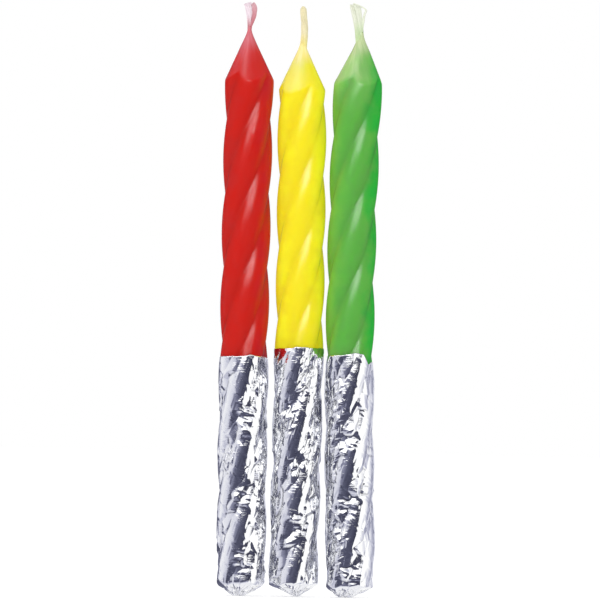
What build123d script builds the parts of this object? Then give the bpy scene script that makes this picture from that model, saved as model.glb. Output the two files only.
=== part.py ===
from build123d import *
from math import atan2, cos, radians, sin, sqrt, tan
import os

# A set of three spiral party candles, standing side by side with their axes along +Z.
# Each one is a twisted wax candle on a cotton wick, with its foot wrapped in crimped foil.
# All lengths are in millimetres. The origin is on the middle candle's axis, at its foil tip.

# Spiral wax: equal round lobes around the axis, twisted to the right.
lobe_count = 4
lobe_arc_radius = 3.02
lobe_offset = 1.88
cone_half_angle = 25.0
wax_collar = 0.25

# Cotton wick, cast into the wax along its axis. Its bends take bend_share of the shorter run beside them.
wick_radius = 0.6
wick_clearance = 0.01
bend_share = 0.45

# Foil wrap around the foot, folded in to a blunt tip under the wax.
foil_clearance = 0.06
foil_wall = 0.09
foil_fold_height = 3.0
foil_tip_radius = 1.6
seat_clearance = 0.1

# Air between neighbouring candles, foil to foil.
candle_gap = 0.6

# What differs from candle to candle. row_place counts candles from the middle one towards +X.
# body_length runs from the wax's flat foot to its shoulder, and lead is the rise of one full turn.
# groove_height is where a groove passes the +X side, and foil_height is the foil's rim, above the tip.
# free_end is the wick's route above the cone, and side_strands are thinner strands that leave it.
# A strand's points are x, y and the height above the cone's top.
candles = {
    "red": {
        "row_place": -1,
        "body_length": 100.0,
        "lead": 59.2,
        "groove_height": 50.9,
        "foil_height": 47.9,
        "free_end": [(0, 0, 0.9), (-0.12, 0, 4.4), (-0.75, 0.05, 6.4)],
        "side_strands": {
            "loop": {
                "radius": 0.3,
                "points": [
                    (0.05, 0, 1.6),
                    (0.3, -0.05, 3.0),
                    (0.85, -0.1, 5.2),
                    (0.93, -0.1, 6.2),
                    (-0.1, -0.05, 6.6),
                ],
            },
        },
    },
    "yellow": {
        "row_place": 0,
        "body_length": 97.9,
        "lead": 57.7,
        "groove_height": 55.4,
        "foil_height": 49.7,
        "free_end": [(0, 0, 0.9), (0.14, 0, 3.8), (-0.16, 0.05, 8.4)],
        "side_strands": {},
    },
    "green": {
        "row_place": 1,
        "body_length": 99.5,
        "lead": 58.4,
        "groove_height": 48.5,
        "foil_height": 48.2,
        "free_end": [(0, 0, 1.8), (-0.5, 0, 4.8), (-1.15, 0.05, 7.3)],
        "side_strands": {
            "inner": {
                "radius": 0.45,
                "points": [(0, 0, 1.6), (-0.1, 0.05, 4.2), (-0.3, 0.05, 7.0)],
            },
            "outer": {
                "radius": 0.25,
                "points": [(0.1, 0, 1.6), (0.85, -0.05, 4.4), (1.15, -0.05, 6.1), (0.95, 0, 6.8)],
            },
        },
    },
}

# Sizes that follow from the values above.
half_lobe_angle = radians(180 / lobe_count)
lobe_crest_radius = lobe_offset + lobe_arc_radius
half_chord = lobe_offset * sin(half_lobe_angle)
groove_radius = lobe_offset * cos(half_lobe_angle) + sqrt(lobe_arc_radius**2 - half_chord**2)
cone_top_radius = wick_radius + wax_collar
cone_height = (lobe_crest_radius - cone_top_radius) / tan(radians(cone_half_angle))
foil_bore_radius = lobe_crest_radius + foil_clearance
foil_radius = foil_bore_radius + foil_wall
fold_slope = atan2(foil_fold_height, foil_radius - foil_tip_radius)
bore_fold_height = foil_fold_height + foil_wall * tan((radians(90) - fold_slope) / 2)
wax_foot_height = bore_fold_height + seat_clearance
candle_pitch = 2 * foil_radius + candle_gap


def polar(radius, angle):
    """A point at a radius and an angle in degrees."""
    return (radius * cos(radians(angle)), radius * sin(radians(angle)))


def lobed_section():
    """The wax's cross-section: one arc per lobe, meeting in grooves, the first of them on +X."""
    step = 360 / lobe_count
    with BuildSketch() as section:
        with BuildLine():
            for lobe in range(lobe_count):
                ThreePointArc(
                    polar(groove_radius, lobe * step),
                    polar(lobe_crest_radius, (lobe + 0.5) * step),
                    polar(groove_radius, (lobe + 1) * step),
                )
        make_face()
    return section.sketch


def turned_profile(points):
    """A solid of revolution around Z from (radius, height) corners."""
    with BuildSketch(Plane.XZ) as profile:
        with BuildLine():
            Polyline(*points, close=True)
        make_face()
    return revolve(profile.sketch, Axis.Z)


def wax_candle(candle):
    """Twisted wax with a coned top, a flat foot and a bore for the wick."""
    shoulder_height = wax_foot_height + candle["body_length"]
    top_height = shoulder_height + cone_height
    wax_height = top_height - wax_foot_height
    foot_angle = 360 * (wax_foot_height - candle["groove_height"]) / candle["lead"]
    section = Pos(0, 0, wax_foot_height) * Rot(0, 0, foot_angle) * lobed_section()
    twist_angle = 360 * wax_height / candle["lead"]
    foot_centre = (0, 0, wax_foot_height)
    spiral = Solid.extrude_linear_with_rotation(section.face(), foot_centre, (0, 0, wax_height), twist_angle)
    # The cone's flank is carried outwards past the crests by one arc radius, so that it cuts every lobe.
    flank_radius = lobe_crest_radius + lobe_arc_radius
    flank_height = shoulder_height - lobe_arc_radius / tan(radians(cone_half_angle))
    outline = turned_profile(
        [
            (0, wax_foot_height),
            (flank_radius, wax_foot_height),
            (flank_radius, flank_height),
            (cone_top_radius, top_height),
            (0, top_height),
        ]
    )
    bore = Pos(0, 0, (wax_foot_height + top_height) / 2) * Cylinder(wick_radius + wick_clearance, wax_height)
    return (spiral & outline) - bore


def strand(radius, points):
    """A round strand along straight runs, with arcs that take up most of the shorter run at each corner."""
    route = [Vector(point) for point in points]
    runs = [end - start for start, end in zip(route, route[1:])]
    bends = []
    for before, after in zip(runs, runs[1:]):
        half_turn = radians(before.get_angle(after) / 2)
        bends.append(bend_share * min(before.length, after.length) / tan(half_turn))
    path = FilletPolyline(*route, radius=bends)
    start = Plane(origin=path @ 0, z_dir=path % 0)
    return sweep(start * Circle(radius), path=path)


def cotton_wick(candle):
    """The wick from the wax's foot to its free end, with the strands that have come away there."""
    top_height = wax_foot_height + candle["body_length"] + cone_height
    free_end = [(x, y, top_height + rise) for x, y, rise in candle["free_end"]]
    wick = strand(wick_radius, [(0, 0, wax_foot_height)] + free_end)
    for side in candle["side_strands"].values():
        side_points = [(x, y, top_height + rise) for x, y, rise in side["points"]]
        wick += strand(side["radius"], side_points)
    return wick


def foil_wrap(candle):
    """Thin sleeve around the lower wax, folded in below it and closed by a blunt tip."""
    tip_bore_radius = foil_tip_radius - foil_wall * tan(fold_slope / 2)
    return turned_profile(
        [
            (0, 0),
            (foil_tip_radius, 0),
            (foil_radius, foil_fold_height),
            (foil_radius, candle["foil_height"]),
            (foil_bore_radius, candle["foil_height"]),
            (foil_bore_radius, bore_fold_height),
            (tip_bore_radius, foil_wall),
            (0, foil_wall),
        ]
    )


os.makedirs("parts", exist_ok=True)
for colour, candle in candles.items():
    place = Pos(candle["row_place"] * candle_pitch, 0, 0)
    export_step(place * wax_candle(candle), f"parts/{colour}_wax.step")
    export_step(place * cotton_wick(candle), f"parts/{colour}_wick.step")
    export_step(place * foil_wrap(candle), f"parts/{colour}_foil.step")
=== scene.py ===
import bpy
import math
import numpy as np
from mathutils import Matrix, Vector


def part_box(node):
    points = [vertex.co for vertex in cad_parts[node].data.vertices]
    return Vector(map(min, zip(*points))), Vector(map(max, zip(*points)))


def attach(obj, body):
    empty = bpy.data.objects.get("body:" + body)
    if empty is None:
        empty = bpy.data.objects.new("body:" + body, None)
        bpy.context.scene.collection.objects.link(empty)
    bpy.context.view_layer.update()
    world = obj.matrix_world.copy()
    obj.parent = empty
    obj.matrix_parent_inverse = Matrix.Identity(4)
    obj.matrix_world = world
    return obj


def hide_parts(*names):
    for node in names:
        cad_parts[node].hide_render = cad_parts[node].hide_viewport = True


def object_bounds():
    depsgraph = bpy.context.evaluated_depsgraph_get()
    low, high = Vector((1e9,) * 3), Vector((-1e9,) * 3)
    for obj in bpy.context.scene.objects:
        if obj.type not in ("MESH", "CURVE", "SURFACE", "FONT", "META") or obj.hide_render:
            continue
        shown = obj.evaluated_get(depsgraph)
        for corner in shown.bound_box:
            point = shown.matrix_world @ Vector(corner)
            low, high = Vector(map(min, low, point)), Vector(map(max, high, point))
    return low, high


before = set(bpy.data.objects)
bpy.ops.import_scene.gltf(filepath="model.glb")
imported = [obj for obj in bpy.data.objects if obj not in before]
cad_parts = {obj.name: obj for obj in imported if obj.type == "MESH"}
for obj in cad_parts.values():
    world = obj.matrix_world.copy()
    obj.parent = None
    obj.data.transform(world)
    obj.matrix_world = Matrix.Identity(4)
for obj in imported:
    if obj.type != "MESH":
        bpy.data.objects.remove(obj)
cad_low, cad_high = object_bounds()

# Wicks: one plaited cotton cord per candle, cast into the wax from its foot to its tip.
# The free end above the cone is bare cotton, stiff with wax at its root. On the red candle a strand
# has folded over into a loop, and on the green one the yarns have fanned out.
millimetre = 0.001
colours = ("red", "yellow", "green")
core_radius = 0.56
core_sides = 16
core_steps = 60
core_depth = 2.0
fibre_radius = 0.085
fibre_sides = 6
fibre_steps = 44
# How much shorter than its bundle a fibre may be, and how far it waves beside its place.
fibre_loss = 0.12
fibre_wave = 0.04
# Each bundle: its route above the cone's top as x, y and height, its radius, how much wider and deeper
# it ends, how many fibres it has, how often they turn around it, how much its left side outlasts its right,
# how much its outer fibres fall short of its middle, and where the wax's dye starts and stops to fade.
wick_bundles = {
    "red": [
        {"route": [(-0.05, 0, -2.5), (-0.25, 0, 1.2), (-0.2, 0, 3.0), (-0.15, 0, 4.8), (-0.3, 0, 5.8),
                   (-0.7, 0, 6.8)],
         "radius": 0.3, "widen": (2.7, 1.2), "fibres": 56, "turns": 0.3,
         "slant": 0.0, "blunt": 0.0, "dye": (0.25, 0.6)},
        {"route": [(-0.1, -0.05, 0.5), (-0.05, -0.05, 2.2), (0.1, -0.1, 3.0), (1.1, -0.1, 4.0),
                   (1.15, -0.1, 5.8), (0.3, -0.05, 6.7)],
         "radius": 0.22, "widen": (2.3, 1.2), "fibres": 44, "turns": 0.7,
         "slant": 0.0, "blunt": 0.0, "dye": (0.2, 1.9)},
    ],
    "yellow": [
        {"route": [(0, 0, -2.5), (0.1, 0, 0.6), (0.5, 0, 2.6), (0.5, 0, 4.6), (-0.1, 0, 6.4), (0, 0, 8.4)],
         "radius": 0.66, "widen": (0.92, 0.92), "fibres": 100, "turns": 0.7,
         "slant": 0.0, "blunt": 0.05, "dye": (0.2, 0.5)},
    ],
    "green": [
        {"route": [(0, 0, -2.5), (0.1, 0, 0.6), (0.1, 0, 2.2), (-0.4, 0, 4.6), (-0.7, 0, 6.2),
                   (-0.9, 0, 7.6)],
         "radius": 0.62, "widen": (1.9, 0.9), "fibres": 130, "turns": 0.15,
         "slant": -0.07, "blunt": 0.0, "dye": (0.2, 0.65)},
        {"route": [(0.35, -0.05, 0.8), (0.5, -0.05, 2.4), (0.75, -0.05, 3.8), (0.8, -0.05, 4.9),
                   (1.38, -0.05, 6.3)],
         "radius": 0.2, "widen": (0.8, 1.0), "fibres": 18, "turns": 0.4,
         "slant": 0.0, "blunt": 0.0, "dye": (0.0, 0.7)},
        {"route": [(1.35, -0.05, 6.2), (0.9, -0.05, 6.8), (-0.1, -0.05, 7.0), (-1.3, -0.05, 7.5)],
         "radius": 0.1, "widen": (1.4, 1.0), "fibres": 10, "turns": 0.5,
         "slant": 0.0, "blunt": 0.0, "dye": (-1.0, 0.0)},
    ],
}
# Under the fibres lie a few thicker yarns, so that a bundle has no holes. Their thickness is given as a
# share of the bundle's radius.
yarns = 20
yarn_share = 0.27
cotton_colours = {"red": (0.92, 0.80, 0.86), "yellow": (0.90, 0.83, 0.55), "green": (0.86, 0.89, 0.75)}
dyed_colours = {"red": (0.66, 0.23, 0.27), "yellow": (0.93, 0.82, 0.30), "green": (0.62, 0.78, 0.45)}
# The candles aren't quite straight: how far the middle and the ends of each stand off to +X.
middle_bow = {"red": -0.14, "yellow": 0.18, "green": -0.4}
end_bow = {"red": 0.02, "yellow": -0.14, "green": 0.4}
bow_centre, bow_reach = 57.0, 47.0


def node_box(node):
    """Lowest and highest corner of a CAD node in millimetres."""
    low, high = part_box(node)
    return np.array(low) / millimetre, np.array(high) / millimetre


def axis_offset(colour, height):
    """X of a candle's bent axis at a height: a parabola from its middle to its ends, level past them."""
    low, high = node_box(f"{colour}_foil")
    along = np.clip((height - bow_centre) / bow_reach, -1, 1)
    bow = middle_bow[colour] + (end_bow[colour] - middle_bow[colour]) * along**2
    return (low[0] + high[0]) / 2 + bow


def bezier(points, step):
    """Points on a Bezier curve: every control point times its Bernstein weight at each step from 0 to 1."""
    points = np.array(points, float)
    order = np.arange(len(points))
    choose = np.array([math.comb(len(points) - 1, k) for k in order])
    step = step[..., None]
    return (choose * step**order * (1 - step) ** (len(points) - 1 - order)) @ points


def unit(vectors):
    """Vectors divided by their lengths."""
    return vectors / np.linalg.norm(vectors, axis=-1, keepdims=True)


def bundle_lines(bundle, rng):
    """Centre lines of a bundle's fibres. Each holds a random place in the bundle's round section,
    which turns and widens along the route, and stops at its own length."""
    count = bundle["fibres"]
    start = rng.random((count, 1))
    out = np.sqrt(rng.random((count, 1)))
    lean = out * np.cos(2 * np.pi * (start + bundle["turns"]))
    reach = 1 - fibre_loss * rng.random((count, 1)) ** 2 - bundle["blunt"] * out**2
    reach = reach - abs(bundle["slant"]) - bundle["slant"] * lean
    step = np.linspace(0, 1, fibre_steps) * reach
    centre = bezier(bundle["route"], step)
    side = unit(np.cross(np.gradient(centre, axis=1), (0, 1, 0)))
    turn = 2 * np.pi * (start + bundle["turns"] * step)
    place = bundle["radius"] * out + fibre_wave * step**2 * np.sin(9 * step + 6 * rng.random((count, 1)))
    wider, deeper = bundle["widen"]
    across = place * np.cos(turn) * (1 + (wider - 1) * step**1.5)
    depth = place * np.sin(turn) * (1 + (deeper - 1) * step**1.5)
    lines = centre + across[..., None] * side + depth[..., None] * np.array((0, 1, 0))
    fade_start, fade_stop = bundle["dye"]
    dye = np.clip((fade_stop - step) / (fade_stop - fade_start), 0, 1)
    return lines, dye


def tubes(lines, radius, sides):
    """Round tubes along many lines at once: rings square to each line, joined by quads, with end faces."""
    tangent = unit(np.gradient(lines, axis=1))
    side = unit(np.cross(tangent, (0, 1, 0)))
    up = np.cross(side, tangent)
    angle = np.arange(sides) * 2 * np.pi / sides
    ring = np.cos(angle)[:, None] * side[:, :, None] + np.sin(angle)[:, None] * up[:, :, None]
    points = lines[:, :, None] + radius * ring
    index = np.arange(points.size // 3).reshape(points.shape[:3])
    here, ahead = index[:, :-1], index[:, 1:]
    quads = np.stack([np.roll(here, -1, 2), here, ahead, np.roll(ahead, -1, 2)], -1)
    ends = index[:, 0].tolist() + index[:, -1, ::-1].tolist()
    return points.reshape(-1, 3), quads.reshape(-1, 4).tolist() + ends


def make_piece(name, shells, material, node, body, marks):
    """Joins shells of points and faces into one smooth mesh at the origin, which stands for a CAD node.
    Marks are named values on its points, which the material reads."""
    points, faces, start = [], [], 0
    for shell_points, shell_faces in shells:
        points.append(shell_points)
        faces += [[start + corner for corner in face] for face in shell_faces]
        start += len(shell_points)
    mesh = bpy.data.meshes.new(name)
    mesh.from_pydata((np.concatenate(points) * millimetre).tolist(), [], faces)
    mesh.shade_smooth()
    mesh.materials.append(material)
    for mark, values in marks.items():
        mesh.attributes.new(mark, "FLOAT", "POINT").data.foreach_set("value", values)
    piece = bpy.data.objects.new(name, mesh)
    bpy.context.scene.collection.objects.link(piece)
    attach(piece, body)
    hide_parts(node)
    return piece


def new_material(name):
    """A material with a Principled shader, returned with its nodes, its links and that shader."""
    material = bpy.data.materials.new(name)
    material.use_nodes = True
    tree = material.node_tree
    return material, tree.nodes, tree.links, tree.nodes["Principled BSDF"]


def new_group(name, inputs, outputs):
    """A shader node group with named sockets, returned with its nodes, links, input and output."""
    group = bpy.data.node_groups.new(name, "ShaderNodeTree")
    for socket, kind in inputs:
        group.interface.new_socket(socket, in_out="INPUT", socket_type=kind)
    for socket, kind in outputs:
        group.interface.new_socket(socket, in_out="OUTPUT", socket_type=kind)
    given = group.nodes.new("NodeGroupInput")
    result = group.nodes.new("NodeGroupOutput")
    return group, group.nodes, group.links, given, result


def feed(links, value, socket):
    """Links a socket to another one, or sets it to a plain number or colour."""
    if isinstance(value, bpy.types.NodeSocket):
        links.new(value, socket)
    else:
        socket.default_value = value


def blended(nodes, links, factor, first, second, blend="MIX"):
    """Colour socket of a Mix node that goes from the first colour to the second as its factor goes to 1."""
    mix = nodes.new("ShaderNodeMix")
    mix.data_type = "RGBA"
    mix.blend_type = blend
    feed(links, factor, mix.inputs[0])
    feed(links, first, mix.inputs[6])
    feed(links, second, mix.inputs[7])
    return mix.outputs[2]


def ramped(nodes, links, value, low, high, to_low=0.0, to_high=1.0):
    """Value socket that runs from to_low to to_high, clamped, as the given one goes from low to high."""
    span = nodes.new("ShaderNodeMapRange")
    span.interpolation_type = "SMOOTHSTEP"
    links.new(value, span.inputs["Value"])
    feed(links, low, span.inputs["From Min"])
    feed(links, high, span.inputs["From Max"])
    feed(links, to_low, span.inputs["To Min"])
    feed(links, to_high, span.inputs["To Max"])
    return span.outputs["Result"]


def times(nodes, links, first, second):
    """Value socket of one value socket times another."""
    product = nodes.new("ShaderNodeMath")
    product.operation = "MULTIPLY"
    links.new(first, product.inputs[0])
    links.new(second, product.inputs[1])
    return product.outputs[0]


def dyed_cotton_group():
    """Cotton between its clean and its dyed colour, by the mesh's dye value, times the grey of darker flecks
    between its fibres."""
    group, nodes, links, given, result = new_group(
        "dyed_cotton",
        [("Cotton", "NodeSocketColor"), ("Dyed", "NodeSocketColor")],
        [("Color", "NodeSocketColor")],
    )
    dye = nodes.new("ShaderNodeAttribute")
    dye.attribute_name = "dye"
    soaked = ramped(nodes, links, dye.outputs["Fac"], 0, 1)
    tone = blended(nodes, links, soaked, given.outputs["Cotton"], given.outputs["Dyed"])
    place = nodes.new("ShaderNodeTexCoord")
    fleck = nodes.new("ShaderNodeTexNoise")
    fleck.inputs["Scale"].default_value = 4200
    links.new(place.outputs["Object"], fleck.inputs["Vector"])
    shade = ramped(nodes, links, fleck.outputs["Fac"], 0.35, 0.6, 0.93, 1.0)
    grey = nodes.new("ShaderNodeCombineColor")
    for channel in grey.inputs:
        links.new(shade, channel)
    links.new(blended(nodes, links, 1.0, tone, grey.outputs[0], "MULTIPLY"), result.inputs["Color"])
    return group


dyed_cotton = dyed_cotton_group()
rng = np.random.default_rng(7)
for colour in colours:
    wax_low, wax_high = node_box(f"{colour}_wax")
    cone_top = wax_high[2]
    shells, dyes = [], []
    for bundle in wick_bundles[colour]:
        inner = {**bundle, "fibres": yarns, "radius": (1 - yarn_share) * bundle["radius"]}
        for strands, radius in ((bundle, fibre_radius), (inner, yarn_share * bundle["radius"])):
            lines, dye = bundle_lines(strands, rng)
            lines = lines + np.array((axis_offset(colour, cone_top), 0, cone_top))
            shells.append(tubes(lines, radius, fibre_sides))
            dyes.append(np.repeat(dye.ravel(), fibre_sides))
    core_heights = np.linspace(wax_low[2] + 0.05, cone_top - core_depth, core_steps)
    core = np.stack([axis_offset(colour, core_heights), 0 * core_heights, core_heights], -1)
    shells.append(tubes(core[None], core_radius, core_sides))
    dyes.append(np.ones(core_heights.size * core_sides))

    material, nodes, links, shader = new_material(f"{colour}_wick_cotton")
    tint = nodes.new("ShaderNodeGroup")
    tint.node_tree = dyed_cotton
    tint.inputs["Cotton"].default_value = (*cotton_colours[colour], 1)
    tint.inputs["Dyed"].default_value = (*dyed_colours[colour], 1)
    links.new(tint.outputs["Color"], shader.inputs["Base Color"])
    shader.inputs["Roughness"].default_value = 0.7
    shader.inputs["Specular IOR Level"].default_value = 0.15
    name = f"{colour}_cotton_wick"
    marks = {"dye": np.concatenate(dyes)}
    make_piece(name, shells, material, f"{colour}_wick", f"{colour}_candle", marks)

# Wax: coloured paraffin drawn through a lobed die and twisted to the right while warm, then cut to length.
# The top is turned to a cone, which leaves a scalloped shoulder where it cuts the lobes, and a thin film
# of wax has climbed a little way up the wick.
lobe_count = 4
lobe_arc = 3.02
lobe_offset = 1.88
groove_softness = 0.15
spiral_lead = {"red": 59.2, "yellow": 57.7, "green": 58.4}
groove_height = {"red": 50.9, "yellow": 55.4, "green": 48.5}
cone_slope = math.tan(math.radians(25))
cone_top_radius = 0.85
shoulder_depth = 8.0
shoulder_softness = 0.05
foot_edge_height = 0.4
foot_edge_inset = 0.25
bore_radius = 0.57
# The film on the wick: how far it climbs past the cone's top, its radius there, how much thinner it ends,
# how softly it joins the cone, how far the cone is set above its CAD place, and how far it leans to +X.
film_height = {"red": 2.3, "yellow": 1.7, "green": 2.0}
film_radius = {"red": 0.47, "yellow": 0.6, "green": 0.64}
film_taper = 0.18
film_softness = 0.16
cone_lift = {"red": 0.0, "yellow": -0.15, "green": 0.05}
cone_lean = {"red": -0.15, "yellow": 0.0, "green": 0.36}
lean_rise = 6.0
# The mesh: points around, and rows on the body, on the cone with its film, down the bore and on the foot.
# The last share of the height has the cone's closer rows.
wax_columns = 168
body_rows = 300
cone_rows = 130
bore_rows = 48
foot_rows = 9
cone_share = 0.12
# The wax's colour on the left, in the middle and on the right, and on the tip. The sides are painted light
# and
# shade: lighter or darker than the middle where the neighbours shade them, and tinted with the light the
# neighbours throw on them. The tip is paler thin wax with a painted sheen.
left_side_light_colours = {"red": (0.52, 0.028, 0.025), "yellow": (1.0, 0.86, 0.028), "green": (0.18, 0.46, 0.080)}
middle_colours = {
    "red": (0.565, 0.022, 0.0165),
    "yellow": (0.87, 0.695, 0.0255),
    "green": (0.132, 0.412, 0.079),
}
right_side_light_colours = {"red": (0.52, 0.020, 0.028), "yellow": (1.0, 0.81, 0.025), "green": (0.033, 0.415, 0.058)}
pale_sheen_tip_colours = {"red": (0.66, 0.175, 0.21), "yellow": (0.91, 0.80, 0.35), "green": (0.58, 0.675, 0.37)}
# How strong the cone's pale tip with its painted sheen still is at the shoulder, and how far round to the
# right the painted sheen fades, away from the light on the left.
cone_shoulder_sheen = {"red": 0.18, "yellow": 0.38, "green": 0.6}
painted_sheen_side = {"red": 0.8, "yellow": 0.75, "green": 1.2}
# How softly the pale tip and its painted sheen start at the shoulder's cut, how much of them spills past the
# cut, and how far. Both reaches are in millimetres between the spiral's radius and the cone's.
painted_sheen_edge = {"red": 0.3, "yellow": 0.5, "green": 0.9}
painted_sheen_spill = {"red": 0.0, "yellow": 0.0, "green": 0.27}
spill_reach = 3.3
# The finish: how strongly the wax mirrors, how far red, green and blue light spread in it, where below the
# cone's top that spread fades out, and how strong the fine lines from the die are.
gloss = {"red": 0.38, "yellow": 0.32, "green": 0.5}
glow_radius = {"red": (1.0, 0.12, 0.08), "yellow": (1.8, 1.4, 0.15), "green": (0.5, 1.6, 0.3)}
glow_fade = (3.7, 1.3)
die_lines = {"red": 0.9, "yellow": 0.12, "green": 0.15}


def soft_greater(first, second, softness):
    """The greater of two values, with the corner between them rounded: a log of summed exponentials."""
    top = np.maximum(first, second)
    return top + softness * np.log1p(np.exp(-np.abs(first - second) / softness))


def lobe_angle(colour, angle, height):
    """Angle from the nearest lobe's crest, at an angle and a height, for lobes that turn once per lead."""
    turned = angle - 2 * np.pi * (height - groove_height[colour]) / spiral_lead[colour]
    step = 2 * np.pi / lobe_count
    return np.mod(turned, step) - step / 2


def lobe_radius(away):
    """Radius of one lobe's arc, set off from the axis, at an angle away from its crest."""
    return lobe_offset * np.cos(away) + np.sqrt(lobe_arc**2 - (lobe_offset * np.sin(away)) ** 2)


def spiral_radius(colour, angle, height, softness):
    """Radius of the twisted wax: the greater of the two nearest lobes, with a soft groove between them."""
    away = lobe_angle(colour, angle, height)
    step = 2 * np.pi / lobe_count
    return soft_greater(lobe_radius(away), lobe_radius(step - np.abs(away)), softness)


def rings_to_shell(rings, closed=False):
    """Quads between rings of points. Each ring is closed, and so is the row of rings if closed is set."""
    index = np.arange(rings.shape[0] * rings.shape[1]).reshape(rings.shape[:2])
    here = index if closed else index[:-1]
    ahead = np.roll(index, -1, 0) if closed else index[1:]
    quads = np.stack([here, np.roll(here, -1, 1), np.roll(ahead, -1, 1), ahead], -1)
    return rings.reshape(-1, 3), quads.reshape(-1, 4).tolist()


def wax_shell(colour):
    """Twisted skin from the foot to the film on the wick, then back down the bore and out along the foot.
    The skin is the lesser of the spiral and the cone. The third value marks where the pale tip and its
    painted sheen lie."""
    low, high = node_box(f"{colour}_wax")
    foot, cone_top = low[2], high[2]
    angle = np.linspace(0, 2 * np.pi, wax_columns, endpoint=False)[None]
    body_rise = np.linspace(0, 1 - cone_share, body_rows, endpoint=False)
    rise = np.concatenate([body_rise, np.linspace(1 - cone_share, 1, cone_rows)])[:, None]
    ragged = 0.35 * np.sin(2 * angle + 0.8) + 0.2 * np.sin(3 * angle)
    film_top = cone_top + film_height[colour]
    height = foot + rise * (film_top + ragged * rise**60 - foot)
    spiral = spiral_radius(colour, angle, height, groove_softness)
    cone = cone_top_radius + (cone_top + cone_lift[colour] - height) * cone_slope
    neck = film_radius[colour] - film_taper * np.clip((height - cone_top) / film_height[colour], 0, 1)
    cone = soft_greater(cone, neck, film_softness)
    skin = -soft_greater(-spiral, -cone, shoulder_softness)
    # The pale tip with its painted sheen lies where the cone cuts the lobes, and on the green wax spills
    # below it.
    cut = np.clip((spiral - cone) / painted_sheen_edge[colour] + 0.5, 0, 1)
    spilt = painted_sheen_spill[colour] * np.clip(1 + (spiral - cone) / spill_reach, 0, 1)
    edge = np.clip((height - foot) / foot_edge_height, 0, 1)
    skin = skin - foot_edge_inset * (1 - np.sqrt(1 - (1 - edge) ** 2))
    bore_heights = np.linspace(film_top - 0.2, foot, bore_rows)[:, None] + 0 * angle
    bore = 0.7 * film_radius[colour] + 0.12 * np.maximum(cone_top - bore_heights, 0)
    bore = np.minimum(bore_radius, bore)
    face_radius = bore_radius + (skin[:1] - bore_radius) * np.linspace(0, 1, foot_rows)[1:-1, None]
    radius = np.concatenate([skin, bore, face_radius])
    height = np.concatenate([height, bore_heights, foot + 0 * face_radius])
    lean = cone_lean[colour] * np.clip((height - cone_top + shoulder_depth) / lean_rise, 0, 1)
    x = axis_offset(colour, height) + lean + radius * np.cos(angle)
    paling_and_sheen_mark = np.concatenate([np.maximum(cut, spilt), 0 * bore, 0 * face_radius])
    points, faces = rings_to_shell(np.stack([x, radius * np.sin(angle), height], -1), closed=True)
    return points, faces, paling_and_sheen_mark.ravel()


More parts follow.
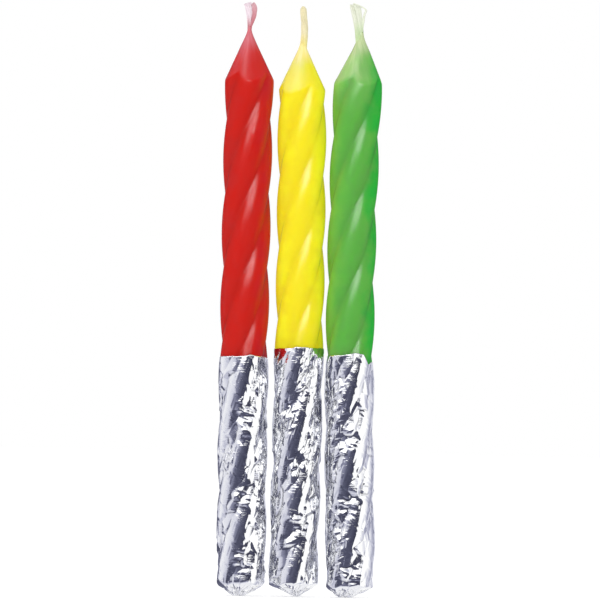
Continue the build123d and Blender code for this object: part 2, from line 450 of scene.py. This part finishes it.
def wax_tone_with_painted_light_group():
    """Wax colour that runs from side to side, with a cloudy border between its colours: painted light and
    shade on the sides, where the neighbours shade the wax and throw their light on it. It pales where the
    mesh is marked for it, paler thin wax with a painted sheen. With it come a height for die lines and soft
    dents, and a roughness."""
    group, nodes, links, given, result = new_group(
        "wax_tone_with_painted_light",
        [("Left", "NodeSocketColor"), ("Middle", "NodeSocketColor"), ("Right", "NodeSocketColor"),
         ("Tip", "NodeSocketColor"),
         ("Axis", "NodeSocketFloat"), ("Shoulder", "NodeSocketFloat"), ("Top", "NodeSocketFloat"),
         ("Shoulder Sheen", "NodeSocketFloat"), ("Sheen Side", "NodeSocketFloat"), ("Die Lines", "NodeSocketFloat")],
        [("Color", "NodeSocketColor"), ("Height", "NodeSocketFloat"), ("Roughness", "NodeSocketFloat")],
    )
    place = nodes.new("ShaderNodeTexCoord")
    axes = nodes.new("ShaderNodeSeparateXYZ")
    links.new(place.outputs["Object"], axes.inputs[0])
    cloud = nodes.new("ShaderNodeTexNoise")
    cloud.inputs["Scale"].default_value = 190
    cloud.inputs["Detail"].default_value = 4
    links.new(place.outputs["Object"], cloud.inputs["Vector"])
    across = nodes.new("ShaderNodeMath")
    across.operation = "SUBTRACT"
    links.new(axes.outputs["X"], across.inputs[0])
    links.new(given.outputs["Axis"], across.inputs[1])
    cloudy = nodes.new("ShaderNodeMath")
    links.new(across.outputs[0], cloudy.inputs[0])
    links.new(ramped(nodes, links, cloud.outputs["Fac"], 0.3, 0.7, -0.0012, 0.0012), cloudy.inputs[1])
    # The side colours are painted light and shade.
    leftmost = ramped(nodes, links, cloudy.outputs[0], -0.0015, -0.005)
    rightmost = ramped(nodes, links, cloudy.outputs[0], 0.0015, 0.005)
    body = blended(nodes, links, leftmost, given.outputs["Middle"], given.outputs["Left"])
    body = blended(nodes, links, rightmost, body, given.outputs["Right"])
    # The pale tip lies on the cone, and with it a painted sheen, mostly on its left side where the light
    # falls and near its top, in streaks. The streaks are noise on the direction from the axis, drawn out
    # along the height.
    tip = ramped(nodes, links, axes.outputs["Z"], given.outputs["Shoulder"], given.outputs["Top"])
    outward = nodes.new("ShaderNodeCombineXYZ")
    links.new(across.outputs[0], outward.inputs["X"])
    links.new(axes.outputs["Y"], outward.inputs["Y"])
    compass = nodes.new("ShaderNodeVectorMath")
    compass.operation = "NORMALIZE"
    links.new(outward.outputs[0], compass.inputs[0])
    drawn_out = nodes.new("ShaderNodeVectorMath")
    drawn_out.operation = "MULTIPLY_ADD"
    links.new(place.outputs["Object"], drawn_out.inputs[0])
    drawn_out.inputs[1].default_value = (0, 0, 60)
    links.new(compass.outputs[0], drawn_out.inputs[2])
    streaks = nodes.new("ShaderNodeTexNoise")
    streaks.inputs["Scale"].default_value = 4.5
    streaks.inputs["Detail"].default_value = 3
    links.new(drawn_out.outputs[0], streaks.inputs["Vector"])
    bearing = nodes.new("ShaderNodeSeparateXYZ")
    links.new(compass.outputs[0], bearing.inputs[0])
    left = ramped(nodes, links, bearing.outputs["X"], -0.7, given.outputs["Sheen Side"], 1.0, 0.06)
    tip_paling_and_sheen = nodes.new("ShaderNodeAttribute")
    tip_paling_and_sheen.attribute_name = "tip_paling_and_sheen"
    fuller = ramped(nodes, links, tip, 0, 1, given.outputs["Shoulder Sheen"], 1.0)
    sheen_amount = times(nodes, links, tip_paling_and_sheen.outputs["Fac"], fuller)
    sheen_amount = times(nodes, links, sheen_amount, ramped(nodes, links, tip, 0.35, 1.0, left, 1.0))
    sheen_amount = times(nodes, links, sheen_amount, ramped(nodes, links, streaks.outputs["Fac"], 0.4, 0.62, 0.85, 1.15))
    links.new(blended(nodes, links, sheen_amount, body, given.outputs["Tip"]), result.inputs["Color"])
    stretch = nodes.new("ShaderNodeMapping")
    stretch.inputs["Scale"].default_value = (150, 150, 2600)
    links.new(place.outputs["Object"], stretch.inputs["Vector"])
    lines = nodes.new("ShaderNodeTexNoise")
    lines.inputs["Scale"].default_value = 1.0
    lines.inputs["Detail"].default_value = 1
    links.new(stretch.outputs["Vector"], lines.inputs["Vector"])
    dents = nodes.new("ShaderNodeTexNoise")
    dents.inputs["Scale"].default_value = 520
    links.new(place.outputs["Object"], dents.inputs["Vector"])
    both = nodes.new("ShaderNodeMath")
    links.new(times(nodes, links, lines.outputs["Fac"], given.outputs["Die Lines"]), both.inputs[0])
    links.new(dents.outputs["Fac"], both.inputs[1])
    links.new(both.outputs[0], result.inputs["Height"])
    links.new(ramped(nodes, links, cloud.outputs["Fac"], 0.3, 0.7, 0.2, 0.15), result.inputs["Roughness"])
    return group


wax_tone_with_painted_light = wax_tone_with_painted_light_group()
waxes = []
for colour in colours:
    wax_low, wax_high = node_box(f"{colour}_wax")
    material, nodes, links, shader = new_material(f"{colour}_paraffin_wax")
    tone = nodes.new("ShaderNodeGroup")
    tone.node_tree = wax_tone_with_painted_light
    # The colours on the left and right are painted light and shade on the sides.
    tone.inputs["Left"].default_value = (*left_side_light_colours[colour], 1)
    tone.inputs["Middle"].default_value = (*middle_colours[colour], 1)
    tone.inputs["Right"].default_value = (*right_side_light_colours[colour], 1)
    tone.inputs["Tip"].default_value = (*pale_sheen_tip_colours[colour], 1)
    tone.inputs["Axis"].default_value = (wax_low[0] + wax_high[0]) / 2 * millimetre
    # The cone's pale tip carries a painted sheen, strongest on its left.
    tone.inputs["Shoulder Sheen"].default_value = cone_shoulder_sheen[colour]
    tone.inputs["Sheen Side"].default_value = painted_sheen_side[colour]
    tone.inputs["Shoulder"].default_value = (wax_high[2] - shoulder_depth) * millimetre
    tone.inputs["Top"].default_value = (wax_high[2] + film_height[colour]) * millimetre
    tone.inputs["Die Lines"].default_value = die_lines[colour]
    relief = nodes.new("ShaderNodeBump")
    relief.inputs["Strength"].default_value = 0.25
    relief.inputs["Distance"].default_value = 0.00006
    links.new(tone.outputs["Height"], relief.inputs["Height"])
    links.new(relief.outputs["Normal"], shader.inputs["Normal"])
    links.new(tone.outputs["Color"], shader.inputs["Base Color"])
    links.new(tone.outputs["Roughness"], shader.inputs["Roughness"])
    # Light spreads in the wax's body, but not in its thin tip, where the wick lies close under the skin.
    place = nodes.new("ShaderNodeTexCoord")
    axes = nodes.new("ShaderNodeSeparateXYZ")
    links.new(place.outputs["Object"], axes.inputs[0])
    fade_start, fade_stop = [(wax_high[2] - below) * millimetre for below in glow_fade]
    spread = ramped(nodes, links, axes.outputs["Z"], fade_start, fade_stop, 1.0, 0.0)
    links.new(spread, shader.inputs["Subsurface Weight"])
    shader.inputs["Subsurface Radius"].default_value = glow_radius[colour]
    shader.inputs["Subsurface Scale"].default_value = 0.005
    shader.inputs["IOR"].default_value = 1.3
    shader.inputs["Specular IOR Level"].default_value = gloss[colour]
    points, faces, paling_and_sheen_mark = wax_shell(colour)
    name, node = f"{colour}_spiral_wax", f"{colour}_wax"
    marks = {"tip_paling_and_sheen": paling_and_sheen_mark}
    waxes.append(make_piece(name, [(points, faces)], material, node, f"{colour}_candle", marks))

# Foil: a sheet of thin aluminium wrapped around each foot and pressed on by hand. It lies smooth on the
# lobes' crests, bridges the grooves in crumpled facets, ends above in a torn edge and is folded in
# under the wax to a blunt tip. Its creases are painted darker, a painted shade, and its inside is duller than
# its outside.
foil_columns = 320
wall_rows = 240
end_rows = 30
inner_rows = 36
floor_rows = 7
# How far the foil's outside and inside stand off the wax, how thin the foil is on its wall, at its torn edge,
# with the reach of that below the edge, and anywhere, its outer and inner radius over a groove, and its
# greatest radius at the candle's sides, with what it may have more at its front and back.
foil_gap = 0.1
lining_gap = 0.03
foil_thickness = 0.03
edge_thickness = 0.04
edge_reach = 1.5
least_thickness = 0.02
bridge_radius = 4.56
bridge_inside = 4.35
widest_radius = 5.04
front_bulge = 0.14
# The torn edge: how far it stands above the CAD rim at angles from +X, with the front at -90 degrees.
rim_edge = {
    "red": [(-180, -0.2), (-125, 0.0), (-90, 0.1), (-75, 0.35), (-60, 0.1), (-20, -0.1), (60, -0.8),
            (120, -0.5)],
    "yellow": [(-175, -0.2), (-120, 0.0), (-95, 0.3), (-60, 0.1), (-10, 0.1), (40, -0.5), (130, -0.3)],
    "green": [(-175, -0.1), (-110, 0.3), (-75, 0.7), (-56, 0.5), (-41, -1.5), (-16, -1.0), (20, -1.3),
              (60, 0), (140, -0.4)],
}
# The folded end: how far its tip stands off to +X, the tip's radius and hollow, the fold's height, the power
# of the slope's curve, with 1 as straight, the share of the end's rings that lie on the slope, the slope's
# pleats, and how far up and how deep they reach into the wall.
tip_offset = {"red": -0.3, "yellow": 0.7, "green": -0.9}
tip_radius = {"red": 1.2, "yellow": 0.5, "green": 1.3}
tip_hollow = 0.14
fold_height = {"red": 2.9, "yellow": 2.6, "green": 2.3}
slope_power = {"red": 0.62, "yellow": 0.9, "green": 0.75}
slope_share = 0.7
pleat_count = 15
pleat_depth = 0.11
gather_height = 2.5
gather_depth = 0.16
# A dip in the wall counts as a crease where it is deeper than shallow, and fully so at crease_depth more.
# Creases get a painted shade in the foil's colour.
shallow = 0.035
crease_depth = 0.04
# Where the foil is folded across the lobes, where it is crinkled and where it is creased aslant at its
# sides: turn from the front to the right in degrees, height, and the reach both ways. The back has zones at
# random places, and the first few of them are folded.
fold_zones = {
    "red": [(5, 35, 24, 4.5), (3, 19.3, 21, 2.6), (8, 6.8, 26, 3.2)],
    "yellow": [(7, 15, 26, 3.0)],
    "green": [(8, 31.5, 20, 2.6), (-7, 18.5, 24, 3.0), (3, 4.8, 32, 2.4), (35, 21, 22, 2.2)],
}
crinkle_zones = {
    "red": [(41, 43, 22, 3.0), (-40, 27.3, 22, 3.6), (57, 19, 20, 14)],
    "yellow": [(19, 44.5, 26, 4.6), (-22, 35.5, 24, 3.8), (40, 28.4, 26, 4.5), (-11, 26, 19, 2.2)],
    "green": [(-34, 35, 26, 10), (-34, 11, 26, 7)],
}
side_zones = {
    "red": [(-66, 39.8, 18, 3), (-66, 28, 18, 4), (-64, 12.4, 18, 3.5)],
    "yellow": [(-66, 20, 16, 6)],
    "green": [(66, 42, 18, 4), (66, 31, 16, 3.5), (66, 15, 18, 4)],
}
back_zone_count = 8
back_fold_count = 3
back_half_turn = 24.0


def zigzag(phase):
    """A triangle wave between -1 and 1 that turns once per unit of phase."""
    return 1 - 4 * np.abs(np.mod(phase, 1) - 0.5)


def creases(around, height, size, slope, directions, rng, bend=1.2):
    """A crumpled sheet as a sum of triangle waves, one per direction. Their lengths lie near size, and each
    rises by slope. Each one's phase is shifted by bend times the sum of those before it, counted in units of
    size times slope. Direction 0 runs around the foil and 90 runs up it."""
    girth = 2 * np.pi * 5
    total = 0 * around * height
    for direction in np.radians(directions):
        length = size * rng.uniform(0.8, 1.3)
        turns = np.round(girth * np.cos(direction) / length)
        phase = turns * around + np.sin(direction) / length * height + rng.random()
        total = total + zigzag(phase + bend * total / (size * slope)) * length * slope / 4
    return total


def zone_mask(angle, height, zones):
    """1 inside the given zones and 0 outside: the sum of flat-topped bells, each with its own reach."""
    mask = 0 * angle * height
    for turn, level, half_turn, half_height in zones:
        away = np.mod(angle - np.radians(turn - 90) + np.pi, 2 * np.pi) - np.pi
        distance = (away / np.radians(half_turn)) ** 2 + ((height - level) / half_height) ** 2
        mask = mask + np.exp(-(distance**2))
    return np.clip(mask, 0, 1)


def lining_radius(colour, angle, height):
    """Radius of the foil's inside: the greater of the wax's lobe, set out by a gap, and a smooth bridge."""
    wax = lobe_radius(lobe_angle(colour, angle, height))
    return soft_greater(wax + lining_gap, bridge_inside + 0 * wax, 0.03)


def foil_skin(colour, angle, height, rim, rng):
    """Outer radius of the wrapped foil: the greater of the wax's lobe, set out by a gap, and the faceted
    bridge over a groove, plus the folds and crinkles of its zones. It is smooth beside the rim at both
    sides, and stays between the lining and the widest radius."""
    around = angle / (2 * np.pi)
    wax = lobe_radius(lobe_angle(colour, angle, height))
    facets = creases(around, height, 4.5, 0.12, rng.permutation([8, 60, 115, 150]), rng, 0.5)
    folds = creases(around, height, 4.2, 0.16, [72, 108], rng)
    folds = folds + creases(around, height, 1.7, 0.12, [85, 50], rng)
    crinkles = creases(around, height, 1.6, 0.2, rng.permutation([20, 75, 140]), rng)
    waves = creases(around, height, 2.4, 0.035, [20, 80, 130], rng)
    aslant = creases(around, height, 4.5, 0.16, [35, 152], np.random.default_rng(5))
    back_turns = rng.uniform(100, 260, back_zone_count)
    back_levels = rng.uniform(4, 46, back_zone_count)
    back_half_heights = rng.uniform(2.5, 5, back_zone_count)
    back_half_turns = np.full(back_zone_count, back_half_turn)
    back_zones = np.stack([back_turns, back_levels, back_half_turns, back_half_heights], -1).tolist()
    fold_zone = zone_mask(angle, height, fold_zones[colour] + back_zones[:back_fold_count])
    crinkle_zone = zone_mask(angle, height, crinkle_zones[colour] + back_zones[back_fold_count:])
    smooth = np.clip(1.6 - (rim - height) / 2, 0, 1) * np.clip(6 * np.abs(np.cos(angle)) - 3, 0, 1)
    skin = soft_greater(wax + foil_gap + waves, bridge_radius + facets * (1 - 0.9 * smooth), 0.01)
    skin = skin + (fold_zone * (folds + 0.07) + crinkle_zone * (crinkles + 0.04)) * (1 - smooth)
    skin = skin + zone_mask(angle, height, side_zones[colour]) * (aslant - 0.1)
    widest = widest_radius + front_bulge * np.sin(angle) ** 2
    lowest = lining_radius(colour, angle, height) + foil_thickness
    return soft_greater(-soft_greater(-skin, -widest, 0.01), lowest, 0.01)


def valleys(relief):
    """How far each point lies below the mean of the two points three columns off, or the two points two rows
    off, whichever is more: from 0 on open facets to 1 in a crease. It sets the creases' painted shade."""
    around = (np.roll(relief, 3, 1) + np.roll(relief, -3, 1)) / 2 - relief
    longer = np.pad(relief, ((2, 2), (0, 0)), "edge")
    along = (longer[:-4] + longer[4:]) / 2 - relief
    return np.clip((np.maximum(around, along) - shallow) / crease_depth, 0, 1)


def foil_shell(colour, rng):
    """Foil from the middle of its folded end up the outside to the torn edge, and back down the inside, as
    rings around the axis. The third value marks the creases, for their painted shade, and the inside."""
    cad_rim = node_box(f"{colour}_foil")[1][2]
    wax_foot = node_box(f"{colour}_wax")[0][2]
    angle = np.linspace(0, 2 * np.pi, foil_columns, endpoint=False)[None]
    around = angle / (2 * np.pi)
    fold = fold_height[colour] + 0.3 * zigzag(3 * around + 0.3 * zigzag(2 * around))
    fold = fold + 0.2 * zigzag(8 * around)
    torn = 0.06 * zigzag(37 * around + 0.7 * zigzag(11 * around))
    rim = cad_rim + np.interp(np.degrees(angle), *np.transpose(rim_edge[colour]), period=360) + torn
    rise = np.linspace(0, 1, wall_rows)[:, None]
    wall_height = fold + rise * (rim - fold)
    wall = foil_skin(colour, angle, wall_height, rim, rng)
    gathered = np.clip(1 - (wall_height - fold) / gather_height, 0, 1) ** 2
    wall = wall - gather_depth * gathered * (1 + zigzag(pleat_count * around + 0.5 * zigzag(5 * around)))
    wall = np.maximum(wall, lining_radius(colour, angle, wall_height) + foil_thickness)
    # The end: rings shrink from the fold to the tip's edge on a pleated slope, then to the middle on the
    # flat, which is a little hollow.
    shrink = np.linspace(0, 1, end_rows)[:-1, None]
    on_slope = np.clip(shrink / slope_share, 0, 1)
    on_flat = np.clip((shrink - slope_share) / (1 - slope_share), 0, 1)
    blunt = tip_radius[colour]
    pleat = zigzag(pleat_count * around + 0.5 * zigzag(5 * around + on_slope) + 0.6 * on_slope)
    crumple = creases(around, 6 * shrink + 0 * angle, 1.7, 0.3, [20, 80, 130, 60], rng) * np.sqrt(on_slope)
    end = wall[:1] + (blunt - wall[:1]) * on_slope
    dent = pleat_depth * (pleat + 1) + np.abs(crumple)
    end = end * (1 - on_flat) - dent * np.sin(np.pi * on_slope)
    lifted = dent * on_slope * (1 - on_flat)
    end_height = fold * (1 - on_slope ** slope_power[colour]) + tip_hollow * on_flat + lifted
    # The pleats' valleys on the end are marked for painted shade too.
    end_crease = np.clip(2 * pleat - 1, 0, 1) * np.clip(3 * on_slope, 0, 1) * (1 - on_flat)
    # The inside: close to the outer skin at the edge, then smooth on the wax, with a floor under its foot.
    inner_rise = np.linspace(1, 0, inner_rows)[:, None]
    inner_foot = np.minimum(fold, wax_foot - 0.05)
    inner_height = inner_foot + inner_rise * (rim - inner_foot)
    near_edge = np.clip(1 - (rim - inner_height) / edge_reach, 0, 1)
    lining = lining_radius(colour, angle, inner_height)
    beside = wall[np.rint(inner_rise[:, 0] * (wall_rows - 1)).astype(int)]
    inner = lining + (wall[-1:] - edge_thickness - lining) * near_edge
    inner = np.minimum(inner, beside - least_thickness)
    floor = inner[-1:] * np.linspace(1, 0, floor_rows)[1:-1, None]
    radius = np.concatenate([end[::-1], wall[1:], inner, floor])
    height = np.concatenate([end_height[::-1], wall_height[1:], inner_height, inner_foot + 0 * floor])
    drift = (on_slope * tip_offset[colour] + 0 * angle)[::-1]
    drift = np.concatenate([drift, 0 * wall[1:], 0 * inner, 0 * floor])
    x = axis_offset(colour, height) + drift + radius * np.cos(angle)
    rings = np.stack([x, radius * np.sin(angle), height], -1)
    points, faces = rings_to_shell(rings)
    # The tip and the floor close in triangles around a point in their middle.
    tip_middle, floor_middle = len(points), len(points) + 1
    columns = np.arange(foil_columns)
    ahead = np.roll(columns, -1)
    base = (len(rings) - 1) * foil_columns
    bottom = np.stack([ahead, columns, tip_middle + 0 * columns], -1)
    top = np.stack([base + columns, base + ahead, floor_middle + 0 * columns], -1)
    middles = np.stack([rings[0].mean(0), rings[-1].mean(0)])
    crease = np.concatenate([end_crease[::-1], valleys(wall)[1:], 0 * inner, 0 * floor])
    inside = np.concatenate([0 * end, 0 * wall[1:], 1 + 0 * inner, 1 + 0 * floor])
    marks = {"crease": np.append(crease, (0, 0)), "inside": np.append(inside, (0, 1))}
    return np.concatenate([points, middles]), faces + bottom.tolist() + top.tolist(), marks


material, nodes, links, shader = new_material("crumpled_foil")
place = nodes.new("ShaderNodeTexCoord")
stretch = nodes.new("ShaderNodeMapping")
stretch.inputs["Scale"].default_value = (500, 500, 3800)
links.new(place.outputs["Object"], stretch.inputs["Vector"])
grain = nodes.new("ShaderNodeTexNoise")
grain.inputs["Scale"].default_value = 1.0
grain.inputs["Detail"].default_value = 3
links.new(stretch.outputs["Vector"], grain.inputs["Vector"])
relief = nodes.new("ShaderNodeBump")
relief.inputs["Strength"].default_value = 0.45
relief.inputs["Distance"].default_value = 0.00006
links.new(grain.outputs["Fac"], relief.inputs["Height"])
links.new(relief.outputs["Normal"], shader.inputs["Normal"])
haze = nodes.new("ShaderNodeTexNoise")
haze.inputs["Scale"].default_value = 420
links.new(place.outputs["Object"], haze.inputs["Vector"])
inside = nodes.new("ShaderNodeAttribute")
inside.attribute_name = "inside"
sheen = ramped(nodes, links, haze.outputs["Fac"], 0.35, 0.7, 0.07, 0.15)
links.new(ramped(nodes, links, inside.outputs["Fac"], 0, 1, sheen, 0.4), shader.inputs["Roughness"])
links.new(ramped(nodes, links, inside.outputs["Fac"], 0, 1, 1.0, 0.75), shader.inputs["Metallic"])
tone = blended(nodes, links, haze.outputs["Fac"], (0.90, 0.905, 0.92, 1), (0.94, 0.945, 0.96, 1))
crease = nodes.new("ShaderNodeAttribute")
crease.attribute_name = "crease"
# Creases are painted darker: a painted shade in the foil's colour.
shade = ramped(nodes, links, crease.outputs["Fac"], 0, 1, 0, 0.5)
links.new(blended(nodes, links, shade, tone, (0.20, 0.205, 0.23, 1)), shader.inputs["Base Color"])
foil_seeds = {"red": 11, "yellow": 23, "green": 31}
foils = []
for colour in colours:
    points, faces, marks = foil_shell(colour, np.random.default_rng(foil_seeds[colour]))
    name, node = f"{colour}_foil_wrap", f"{colour}_foil"
    foils.append(make_piece(name, [(points, faces)], material, node, node, marks))

# Studio: a pale table under the candles in even white light, with a wide softbox above the camera and a
# weaker one behind. Cards around it draw the foil's shape and strips the streaks on the wax: the foils'
# reflections alone see the cards, and the waxes' gloss alone the strips and a glow behind them.
table_reach = 3.0
softbox = {"turn": -15, "lift": 20, "distance": 0.9, "size": (0.6, 0.3), "power": 2.5}
back_softbox = {"turn": 190, "lift": 40, "distance": 0.9, "size": (0.6, 0.3), "power": 0.8}
# Two fills for the sides of the middle wax, which its neighbours shade. They light that wax alone, and the
# neighbours don't block them.
fill_lamps = {
    "right_fill": {"turn": 80, "lift": 4, "distance": 0.6, "size": (0.2, 0.2), "power": 0.55},
    "left_fill": {"turn": -80, "lift": 4, "distance": 0.6, "size": (0.2, 0.2), "power": 0.45},
}
# The strips, each brightest at its peak along its length. Three lie under the table, which doesn't
# block them.
wax_strips = {
    "softbox_face": {"turn": -15, "lift": 18.5, "size": (1.4, 0.11), "power": 16.0, "peak": 0.7},
    "high_strip": {"turn": -35, "lift": 48, "size": (1.0, 0.3), "power": 8.0, "peak": 0.5},
    "low_front_strip": {"turn": 30, "lift": -40, "size": (1.0, 0.11), "power": 11.0, "peak": 0.6},
    "low_side_strip": {"turn": 110, "lift": -22, "size": (0.65, 0.11), "power": 7.0, "peak": 0.5},
    "low_back_strip": {"turn": 210, "lift": -32, "size": (1.0, 0.11), "power": 11.0, "peak": 0.6},
}
strip_distance = 0.9
back_glow = {"turn": 180, "lift": 0, "distance": 0.6, "size": (1.0, 1.0), "power": 0.8}
# Each card: the turn it covers, counted from the camera's side to its right, its lift, and how bright its
# four corners are: at both turns along its lower edge, then along its upper one.
cards = {
    "softbox_left": ((-80, -15), (12, 34), (0.6, 1.8), (0.7, 2.4)),
    "softbox_right": ((-15, 40), (12, 34), (1.8, 0.6), (2.4, 0.7)),
    "ceiling_card": ((-85, 40), (34, 64), (2.8, 0.3), (1.6, 0.3)),
    "left_card": ((-112, -62), (-14, 20), (0.95, 0.74), (0.95, 0.74)),
    "lilac_card": ((-62, -44), (-14, 12), (0.74, 0.55), (0.74, 0.55)),
    "navy_card": ((-44, -20), (-14, 12), (0.30, 0.15), (0.30, 0.15)),
    "dark_card": ((-20, 40), (-14, 12), (0.12, 0.035), (0.12, 0.035)),
    "right_card": ((40, 70), (-60, 40), (1.1, 1.1), (1.2, 1.2)),
    "far_right_card": ((70, 104), (-60, 40), (1.1, 0.7), (1.2, 0.6)),
    "low_left_card": ((-112, -50), (-60, -14), (0.85, 0.75), (0.65, 0.48)),
    "low_front_card": ((-50, 40), (-34, -14), (0.10, 0.12), (0.05, 0.08)),
    "table_card": ((-50, 40), (-60, -34), (0.8, 0.8), (0.12, 0.14)),
    "low_card": ((-180, 180), (-90, -60), (0.95, 0.95), (0.9, 0.9)),
    "back_white_card": ((104, 135), (-60, 30), (0.8, 0.5), (0.5, 0.1)),
    "back_right_card": ((135, 180), (-8, 20), (0.65, 0.75), (0.6, 0.75)),
    "back_left_card": ((180, 205), (-8, 20), (0.75, 0.3), (0.75, 0.25)),
    "back_dark_card": ((205, 222), (-8, 20), (0.12, 0.10), (0.06, 0.05)),
    "back_lilac_card": ((222, 248), (-8, 20), (0.5, 0.9), (0.5, 0.8)),
    "low_back_white_card": ((135, 185), (-60, -8), (1.0, 1.2), (0.6, 1.2)),
    "low_back_dark_card": ((185, 228), (-60, -8), (0.3, 0.12), (0.12, 0.04)),
    "low_back_lilac_card": ((228, 248), (-60, -8), (0.3, 0.8), (0.2, 0.7)),
    "back_ceiling_card": ((140, 248), (20, 60), (2.2, 0.6), (1.4, 0.4)),
}
card_distance = 0.7
card_columns = 25
card_rows = 13
# The cards' tint: how far the middle greys lean to blue, and how much of that goes to green.
card_blue = 0.42
card_green = 0.06


def stage_object(name, points, faces, material):
    """A plain mesh that is part of the studio."""
    mesh = bpy.data.meshes.new(name)
    mesh.from_pydata(points, [], faces)
    mesh.materials.append(material)
    made = bpy.data.objects.new(name, mesh)
    bpy.context.scene.collection.objects.link(made)
    return made


material, nodes, links, shader = new_material("pale_table")
shader.inputs["Base Color"].default_value = (0.86, 0.86, 0.86, 1)
shader.inputs["Roughness"].default_value = 0.9
shader.inputs["Specular IOR Level"].default_value = 0.0
shader.inputs["Emission Color"].default_value = (1, 1, 1, 1)
ray = nodes.new("ShaderNodeLightPath")
seen_glow = ramped(nodes, links, ray.outputs["Is Camera Ray"], 0, 1, 0, 0.35)
links.new(seen_glow, shader.inputs["Emission Strength"])
corners = [(x * table_reach, y * table_reach, 0) for x, y in ((-1, -1), (1, -1), (1, 1), (-1, 1))]
table = stage_object("table", corners, [(0, 1, 2, 3)], material)
table.visible_glossy = False

middle = np.array((0, 0, (cad_low.z + cad_high.z) / 2))
bright_foil = bpy.data.collections.new("bright_foil")
for foil in foils:
    bright_foil.objects.link(foil)
for name, ((start, stop), (lowest, highest), lower_edge, upper_edge) in cards.items():
    material = bpy.data.materials.new(name)
    material.use_nodes = True
    tree = material.node_tree
    tree.nodes.clear()
    tone = tree.nodes.new("ShaderNodeAttribute")
    tone.attribute_name = "tone"
    glow = tree.nodes.new("ShaderNodeEmission")
    tree.links.new(tone.outputs["Color"], glow.inputs["Color"])
    tree.links.new(glow.outputs[0], tree.nodes.new("ShaderNodeOutputMaterial").inputs["Surface"])
    share = np.linspace(0, 1, card_columns)[:, None]
    up = np.linspace(0, 1, card_rows)[None]
    turn = np.radians(start + (stop - start) * share)
    lift = np.radians(lowest + (highest - lowest) * up)
    level = np.cos(lift)
    patch = np.stack([np.sin(turn) * level, -np.cos(turn) * level, np.sin(lift) + 0 * turn], -1)
    index = np.arange(share.size * lift.size).reshape(share.size, lift.size)
    quads = np.stack([index[:-1, :-1], index[1:, :-1], index[1:, 1:], index[:-1, 1:]], -1)
    points = (middle + card_distance * patch).reshape(-1, 3)
    card = stage_object(name, points.tolist(), quads.reshape(-1, 4).tolist(), material)
    grey = (1 - up) * np.interp(share, (0, 1), lower_edge) + up * np.interp(share, (0, 1), upper_edge)
    blue = grey + card_blue * grey**0.8 * np.clip(1 - grey, 0, 1)
    light = np.stack([grey, grey + card_green * (blue - grey), blue, np.ones_like(grey)], -1)
    card.data.attributes.new("tone", "FLOAT_COLOR", "POINT").data.foreach_set("color", light.ravel())
    card.visible_camera = card.visible_diffuse = card.visible_shadow = False
    card.visible_transmission = card.visible_volume_scatter = False
    card.light_linking.receiver_collection = bright_foil

world = bpy.data.worlds.new("white_studio")
bpy.context.scene.world = world
world.use_nodes = True
nodes, links = world.node_tree.nodes, world.node_tree.links
ray = nodes.new("ShaderNodeLightPath")
mirrored = ramped(nodes, links, ray.outputs["Is Glossy Ray"], 0, 1, 0.82, 0.6)
seen = ramped(nodes, links, ray.outputs["Is Camera Ray"], 0, 1, mirrored, 1.0)
links.new(seen, nodes["Background"].inputs["Strength"])
nodes["Background"].inputs["Color"].default_value = (1, 1, 1, 1)


def soft_lamp(name, place):
    """An area lamp that faces the candles' middle from a turn, a lift and a distance."""
    lamp = bpy.data.lights.new(name, "AREA")
    lamp.shape = "RECTANGLE"
    lamp.size, lamp.size_y = place["size"]
    lamp.energy = place["power"]
    made = bpy.data.objects.new(name, lamp)
    bpy.context.scene.collection.objects.link(made)
    turn, lift = math.radians(place["turn"]), math.radians(place["lift"])
    aim = np.array((math.sin(turn) * math.cos(lift), -math.cos(turn) * math.cos(lift), math.sin(lift)))
    made.location = middle + place["distance"] * aim
    made.rotation_euler = (math.pi / 2 - lift, 0, turn)
    return made


soft_lamp("softbox", softbox).visible_glossy = False
soft_lamp("back_softbox", back_softbox).visible_glossy = False
shaded_wax = bpy.data.collections.new("shaded_wax")
shaded_wax.objects.link(waxes[1])
for name, fill in fill_lamps.items():
    lamp = soft_lamp(name, fill)
    lamp.visible_glossy = False
    lamp.light_linking.receiver_collection = shaded_wax
    lamp.light_linking.blocker_collection = shaded_wax
glossy_wax = bpy.data.collections.new("glossy_wax")
for wax in waxes:
    glossy_wax.objects.link(wax)
glow = soft_lamp("back_glow", back_glow)
glow.visible_diffuse = False
glow.light_linking.receiver_collection = glossy_wax
for name, strip in wax_strips.items():
    lamp = soft_lamp(name, {**strip, "distance": strip_distance})
    lamp.visible_diffuse = False
    lamp.light_linking.receiver_collection = glossy_wax
    lamp.light_linking.blocker_collection = glossy_wax
    lamp.data.use_nodes = True
    nodes, links = lamp.data.node_tree.nodes, lamp.data.node_tree.links
    place = nodes.new("ShaderNodeNewGeometry")
    axes = nodes.new("ShaderNodeSeparateXYZ")
    links.new(place.outputs["Parametric"], axes.inputs[0])
    brighter = ramped(nodes, links, axes.outputs["X"], 0, strip["peak"])
    strength = ramped(nodes, links, axes.outputs["X"], strip["peak"], 1, brighter, 0)
    links.new(strength, nodes["Emission"].inputs["Strength"])

# Camera: level with the candles' middle and square to the row, far off on a long lens and turned about its
# own axis by a degree. The frame's width is what it sees at the candles.
frame_width = 0.12
camera_distance = 3.2
camera_roll = math.radians(-1.01)
camera_centre = (0.2 * millimetre, 59.36 * millimetre)
camera = bpy.data.cameras.new("camera")
camera.sensor_width = 36
camera.lens = camera.sensor_width * camera_distance / frame_width
camera.clip_end = 20
camera_object = bpy.data.objects.new("camera", camera)
bpy.context.scene.collection.objects.link(camera_object)
camera_object.location = (camera_centre[0], -camera_distance, camera_centre[1])
camera_object.rotation_euler = (math.pi / 2, camera_roll, 0)
bpy.context.scene.camera = camera_object
bpy.context.scene.view_settings.view_transform = "Standard"
